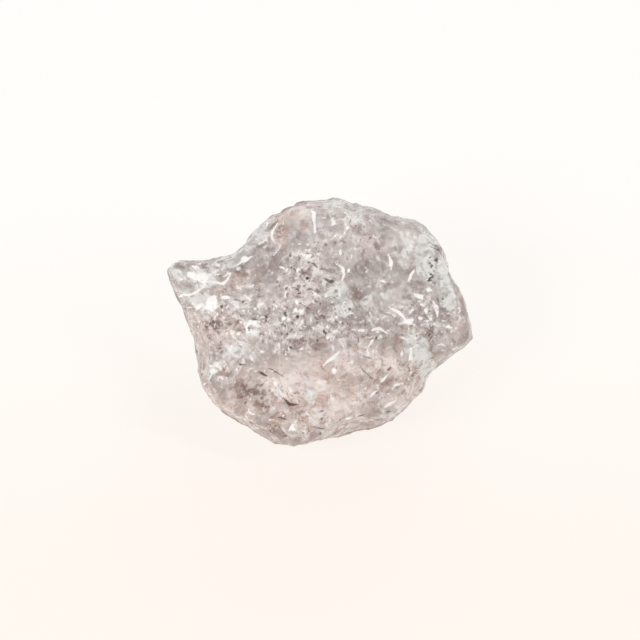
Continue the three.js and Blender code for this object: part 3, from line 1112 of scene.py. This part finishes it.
@dataclass(frozen=True)
class RimShade:
    """A darker line of painted shade along the outline. It fades over fade pixels and over width millimetres.
    """

    fade: float = 1.7
    width: float = 0.6
    steps: int = 900
    smoothing: int = 6

    def gap(self, seen: np.ndarray, places: np.ndarray) -> tuple:
        """How far each vertex is from the stone's outline.

        Args:
            seen: where the vertices land in the picture.
            places: the vertices, in metres.

        Returns:
            The gap in the picture, in pixels, and the distance on the stone, in metres.
        """
        off = seen - (seen.min(0) + seen.max(0)) / 2
        reach = np.linalg.norm(off, axis=1)
        turn = ((np.arctan2(off[:, 1], off[:, 0]) / (2 * np.pi) + 0.5) * self.steps).astype(int) % self.steps
        order = np.argsort(reach, kind="stable")
        edge, ends = np.zeros(self.steps), np.zeros((self.steps, 3))
        edge[turn[order]] = reach[order]
        ends[turn[order]] = places[order]
        shifts = range(-self.smoothing, self.smoothing + 1)
        ends = sum(np.roll(ends, shift, axis=0) for shift in shifts) / len(shifts)
        return edge[turn] - reach, np.linalg.norm(places - ends[turn], axis=1)

    def weight(self, gap: tuple, facing: np.ndarray, marked: np.ndarray, cloud: np.ndarray) -> np.ndarray:
        """How strong the rim's painted shade is at each vertex.

        Args:
            gap: the two distances from the outline.
            facing: how far each vertex faces the camera, from -1 to 1.
            marked: how strong the rim's marks are there.
            cloud: a cloudy value from 0 to 1.

        Returns:
            A value from 0 to 1.
        """
        inside, away = gap
        near = np.clip((facing + 0.3) / 0.3, 0, 1)
        width = self.width * MM * (0.3 + 1.2 * cloud)
        edge = near * np.exp(-(inside / self.fade) ** 2 - (away / width) ** 2)
        return np.clip(edge * (0.2 + 1.2 * marked) * (0.75 + 0.6 * cloud), 0, 1)


@dataclass(frozen=True)
class Marking:
    """How the marks lie on the stone, with clouds of the same kinds on the side that the camera doesn't see.

    Ovals sway by pixels, and strokes by stroke_sway millimetres for each of those. Sizes are millimetres.
    """

    sway: float = 3.5
    sway_size: float = 1.1
    stroke_sway: float = 0.028
    cloud_size: float = 4.5
    cloud_strength: float = 1.3
    cloud_shift: tuple = (17.0, 3.0, 5.0)
    steep_busy: float = 0.6
    steep_shade: float = 0.3

    def placed(self, places: np.ndarray, seen: np.ndarray, caster: Caster) -> dict:
        """The marks that have a place in the picture, and the curls.

        Args:
            places: the vertices, in metres.
            seen: where they land in the picture.
            caster: what finds the stone under a place of the picture.

        Returns:
            A value for each vertex by tone.
        """
        sway = gather(places / MM, lambda at: noise.noise_vector(at / self.sway_size)) * self.sway
        swayed = seen + sway[:, :2]
        nudged = places + sway * self.stroke_sway * MM
        values = {tone: np.zeros(len(places)) for tone in Tone}
        for mark in PATCHES:
            values[mark.tone] = np.maximum(values[mark.tone], mark.weight(swayed))
        for mark in [*STROKES, *Curls().strokes()]:
            values[mark.tone] = np.maximum(values[mark.tone], mark.weight(nudged, caster))
        return values

    def spread(self, values: dict, places: np.ndarray, facing: np.ndarray) -> np.ndarray:
        """Adds the clouds of the far side, makes steep places busy, and darkens them with painted shade.

        Args:
            values: the marks by tone, changed in place.
            places: the vertices, in metres.
            facing: how far each vertex faces the camera, from -1 to 1.

        Returns:
            A cloudy value from 0 to 1 for each vertex.
        """
        near = np.clip((facing + 0.05) / 0.25, 0, 1)
        step, *level = self.cloud_shift
        for number, tone in enumerate((Tone.MILK, Tone.WARM, Tone.DARK, Tone.BUSY), 1):
            shift = Vector((step * number, *level))
            cloud = gather(places / MM, lambda at: noise.fractal(at / self.cloud_size + shift, 0.8, 2.0, 3))
            values[tone] = near * values[tone] + (1 - near) * np.clip(cloud * self.cloud_strength, 0, 1)
        steep = np.clip((0.55 - facing) / 0.4, 0, 1) * near
        values[Tone.BUSY] = np.maximum(values[Tone.BUSY], self.steep_busy * steep)
        # Painted shade on steep walls, which the lights make brighter.
        values[Tone.DARK] = np.maximum(values[Tone.DARK], self.steep_shade * steep)
        return np.clip(cloud + 0.5, 0, 1)


@dataclass
class StoneSkin:
    """The stone's visible skin: the CAD solid made fine, with its small breaks. Sizes are millimetres."""

    view: PhotoView
    eye: np.ndarray
    node: str = "rough_stone"
    merge_gap: float = 0.0005
    voxel: float = 0.125
    smoothing: int = 1
    flat_under: float = 0.03
    breaks: Breaks = Breaks()
    rim: RimShade = RimShade()
    marking: Marking = Marking()
    finish: GlassyBeryl = GlassyBeryl()

    def fine_mesh(self) -> bpy.types.Object:
        """A merged copy of the CAD node's mesh, cut into even small faces.

        Returns:
            The new object, linked to the scene.
        """
        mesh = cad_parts[self.node].data.copy()
        bm = bmesh.new()
        bm.from_mesh(mesh)
        bmesh.ops.remove_doubles(bm, verts=bm.verts, dist=self.merge_gap * MM)
        bm.to_mesh(mesh)
        bm.free()
        mesh.materials.clear()
        raw = bpy.data.objects.new("stone_skin", mesh)
        bpy.context.scene.collection.objects.link(raw)
        remesh = raw.modifiers.new("even_faces", "REMESH")
        remesh.mode = "VOXEL"
        remesh.voxel_size = self.voxel * MM
        made = bpy.data.meshes.new_from_object(raw.evaluated_get(bpy.context.evaluated_depsgraph_get()))
        raw.modifiers.clear()
        raw.data = made
        raw.data.name = "stone_skin"
        return raw

    def build(self) -> bpy.types.Object:
        """Makes the skin and dresses it.

        Returns:
            The stone's object.
        """
        skin = self.fine_mesh()
        self.smooth(skin.data)
        self.carve(skin.data)
        skin.data.materials.append(self.finish.material())
        skin.data.polygons.foreach_set("use_smooth", [True] * len(skin.data.polygons))
        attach(skin, "root")
        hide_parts(self.node)
        log.info("stone skin: %d faces", len(skin.data.polygons))
        return skin

    def smooth(self, mesh: bpy.types.Mesh) -> None:
        """Takes the voxels' steps off the skin.

        Args:
            mesh: the skin's mesh, changed in place.
        """
        bm = bmesh.new()
        bm.from_mesh(mesh)
        for _ in range(self.smoothing):
            bmesh.ops.smooth_vert(bm, verts=bm.verts, factor=0.5,
                                  use_axis_x=True, use_axis_y=True, use_axis_z=True)
        bm.to_mesh(mesh)
        bm.free()

    def carve(self, mesh: bpy.types.Mesh) -> None:
        """Breaks the skin into small shells and gives it the marks.

        Args:
            mesh: the skin's mesh, changed in place.
        """
        count = len(mesh.vertices)
        places, normals = np.empty(count * 3), np.empty(count * 3)
        mesh.vertices.foreach_get("co", places)
        mesh.vertex_normals.foreach_get("vector", normals)
        places, normals = places.reshape(-1, 3), normals.reshape(-1, 3)
        seen = self.view.pixels(places, self.eye)
        facing = normals @ self.view.back
        caster = Caster(self.view, self.eye, BVHTree.FromPolygons(
            [Vector(place) for place in places], [tuple(face.vertices) for face in mesh.polygons]))
        values = self.marking.placed(places, seen, caster)
        cloud = self.marking.spread(values, places, facing)
        gap = self.rim.gap(seen, places)
        # The painted shade along the outline as the camera sees it.
        values[Tone.RIM] = self.rim.weight(gap, facing, values[Tone.RIM], cloud)
        rise, ridge = self.breaks.cut(places / MM, values[Tone.BUSY], gap[0])
        for stroke in STROKES:
            if stroke.rise:
                rise += stroke.rise * stroke.weight(places, caster)
        rise = np.minimum(rise, self.breaks.highest) * (places[:, 2] > self.flat_under * MM)
        places += normals * (rise * MM)[:, None]
        places[:, 2] = np.maximum(places[:, 2], 0.0)
        mesh.vertices.foreach_set("co", places.reshape(-1))
        for name, layer in [*((tone.value, values[tone]) for tone in Tone), ("ridge", ridge)]:
            mesh.attributes.new(name, "FLOAT", "POINT").data.foreach_set("value", layer.astype(np.float32))
        mesh.update()


class Grain(Enum):
    """A kind of thing inside the stone, with the colour that it has."""

    CRACK = (0.93, 0.90, 0.88)
    VEIL = (0.88, 0.87, 0.85)
    DARK = (0.10, 0.07, 0.06)
    PALE = (0.95, 0.93, 0.91)


@dataclass(frozen=True)
class InnerFinish:
    """The finish of what lies inside: a silvery film for cracks, milky lace for veils, and plain grains."""

    mottle: tuple = (0.8, 0.72, 0.69)
    mottle_size: float = 0.4
    mottle_share: float = 0.3
    crack_roughness: float = 0.12
    veil_roughness: float = 0.4
    grain_roughness: float = 0.5
    lace_size: float = 0.55
    lace_strength: float = 0.55

    def material(self, name: str, grain: Grain) -> bpy.types.Material:
        """Makes the material of one kind of thing.

        Args:
            name: the material's name.
            grain: the kind of thing.

        Returns:
            The material.
        """
        recipe = Recipe(name)
        share = recipe.noise(self.mottle_size, 3.0) * self.mottle_share
        inputs = {"Base Color": recipe.blend(share, grain.value, self.mottle)}
        if grain is Grain.CRACK:
            slant = recipe.node("ShaderNodeLayerWeight", {}, {"Blend": 0.35}, "Facing")
            film = (slant.band(0.15, 0.9) * 0.85 + 0.06).clamped()
            inputs |= {"Roughness": self.crack_roughness, "Metallic": 1.0, "Alpha": film}
        elif grain is Grain.VEIL:
            lace = recipe.noise(self.lace_size, 4.0, 0.7, 0.8).band(0.5, 0.68) * self.lace_strength
            inputs |= {"Roughness": self.veil_roughness, "Alpha": lace.clamped()}
        else:
            inputs |= {"Roughness": self.grain_roughness}
        return recipe.surface(recipe.node("ShaderNodeBsdfPrincipled", {}, inputs, "BSDF"))


@dataclass(frozen=True)
class Swarm:
    """Many small things of one kind inside the stone. Sizes and depths are in millimetres.

    Flatness is their thickness for a width of 1, and busy_only says how much they keep to busy places.
    """

    name: str
    grain: Grain
    count: int
    size: tuple
    depth: tuple
    flatness: float
    busy_only: float
    subdivisions: int = 2


@dataclass
class Inclusions:
    """The cracks, veils and grains that the clear stone shows inside. Gaps are millimetres.

    Each keeps a gap from the skin and the floor, and a flake's size is at most flake_share of its gap.
    """

    skin: bpy.types.Object
    skin_gap: float = 0.03
    floor_gap: float = 0.3
    grain_gap: float = 0.01
    flake_share: float = 0.76
    least_share: float = 0.8
    depth_power: float = 1.5
    size_power: float = 1.6
    narrowest: float = 0.5
    curl: float = 0.45
    curl_rise: float = 0.6
    curls_under: float = 0.3
    raggedness: float = 0.35
    lumps: float = 1.6
    apart: float = 40
    finish: InnerFinish = InnerFinish()
    swarms: tuple = (
        Swarm("inner_cracks", Grain.CRACK, 700, (0.12, 0.62), (0.12, 1.4), 0.06, 0.6),
        Swarm("inner_veils", Grain.VEIL, 60, (0.5, 1.3), (0.5, 1.6), 0.02, 0.0, 3),
        Swarm("dark_grains", Grain.DARK, 130, (0.035, 0.10), (0.05, 0.9), 0.6, 0.7, 1),
        Swarm("pale_grains", Grain.PALE, 420, (0.035, 0.13), (0.04, 0.7), 0.5, 0.7, 1),
    )

    def build(self) -> None:
        """Makes every swarm."""
        mesh = self.skin.data
        faces = [tuple(face.vertices) for face in mesh.polygons]
        tree = BVHTree.FromPolygons([vert.co for vert in mesh.vertices], faces)
        busy = [item.value for item in mesh.attributes[Tone.BUSY.value].data]
        for number, swarm in enumerate(self.swarms):
            chance = random.Random(SEED + number)
            bm = bmesh.new()
            made = 0
            while made < swarm.count:
                vert = mesh.vertices[chance.randrange(len(mesh.vertices))]
                if chance.random() > 1 - swarm.busy_only * (1 - busy[vert.index]):
                    continue
                made += self.place(bm, swarm, vert, tree, chance)
            self.dress(bm, swarm)

    def place(self, bm: bmesh.types.BMesh, swarm: Swarm, vert: bpy.types.MeshVertex, tree: BVHTree,
              chance: random.Random) -> bool:
        """Puts one thing under a place of the skin, if there is room.

        Args:
            bm: what it is added to.
            swarm: what it is one of.
            vert: the skin's vertex over it.
            tree: the skin, for distances.
            chance: the source of chance.

        Returns:
            Whether it was put there.
        """
        low, high = swarm.depth
        depth = low + (high - low) * chance.random() ** self.depth_power
        middle = vert.co - vert.normal * depth * MM
        small, large = swarm.size
        size = small * (large / small) ** (chance.random() ** self.size_power)
        near, outward, _, gap = tree.find_nearest(middle)
        if (middle - near).dot(outward) > 0 or gap < self.skin_gap * MM or middle.z < self.floor_gap * MM:
            return False
        flake = swarm.grain in (Grain.CRACK, Grain.VEIL)
        size = min(size, self.flake_share * gap / MM if flake else gap / MM - self.grain_gap)
        if size < small * self.least_share:
            return False
        made = self.shape(bm, swarm, chance)
        turn = Euler([chance.random() * FULL_TURN for _ in range(3)]).to_matrix().to_4x4()
        place = Matrix.Translation(middle) @ turn @ Matrix.Diagonal((size * MM, size * MM, size * MM, 1))
        bmesh.ops.transform(bm, matrix=place, verts=made)
        return True

    def shape(self, bm: bmesh.types.BMesh, swarm: Swarm, chance: random.Random) -> list:
        """Makes one thing, with a radius of about 1, round the origin.

        Args:
            bm: what it is added to.
            swarm: what it is one of.
            chance: the source of chance.

        Returns:
            Its vertices.
        """
        made = bmesh.ops.create_icosphere(bm, subdivisions=swarm.subdivisions, radius=1.0)["verts"]
        long = self.narrowest + (1 - self.narrowest) * chance.random()
        curl = chance.uniform(-self.curl, self.curl)
        shift = Vector((chance.random() * self.apart, chance.random() * self.apart, 0))
        for point in made:
            ragged = 1 + self.raggedness * noise.noise(point.co * self.lumps + shift)
            flat = Vector((point.co.x * ragged, point.co.y * ragged * long, point.co.z * swarm.flatness))
            if swarm.flatness < self.curls_under:
                flat.z += curl * (flat.x ** 2 + 0.5 * flat.y) * self.curl_rise
            point.co = flat
        return made

    def dress(self, bm: bmesh.types.BMesh, swarm: Swarm) -> None:
        """Turns a swarm into a dressed piece.

        Args:
            bm: the swarm's shapes, freed here.
            swarm: the swarm.
        """
        mesh = bpy.data.meshes.new(swarm.name)
        bm.to_mesh(mesh)
        bm.free()
        mesh.polygons.foreach_set("use_smooth", [True] * len(mesh.polygons))
        mesh.materials.append(self.finish.material(swarm.name, swarm.grain))
        piece = bpy.data.objects.new(swarm.name, mesh)
        bpy.context.scene.collection.objects.link(piece)
        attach(piece, "root")
        log.info("%s: %d faces", swarm.name, len(mesh.polygons))


def main() -> None:
    """Builds the stone, its studio and its camera."""
    logging.basicConfig(level=logging.INFO, format="%(name)s: %(message)s")
    noise.seed_set(SEED)
    solid = np.array([vert.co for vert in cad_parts["rough_stone"].data.vertices])
    view = PhotoView()
    eye = view.build(solid)
    log.info("camera at %s", eye)
    Studio().build()
    skin = StoneSkin(view, eye).build()
    Inclusions(skin).build()
    scene = bpy.context.scene
    scene.view_settings.view_transform = "Standard"
    scene.cycles.max_bounces = 18
    scene.cycles.transmission_bounces = 16
    scene.cycles.glossy_bounces = 12
    scene.cycles.transparent_max_bounces = 18


if __name__ == "__main__":
    main()
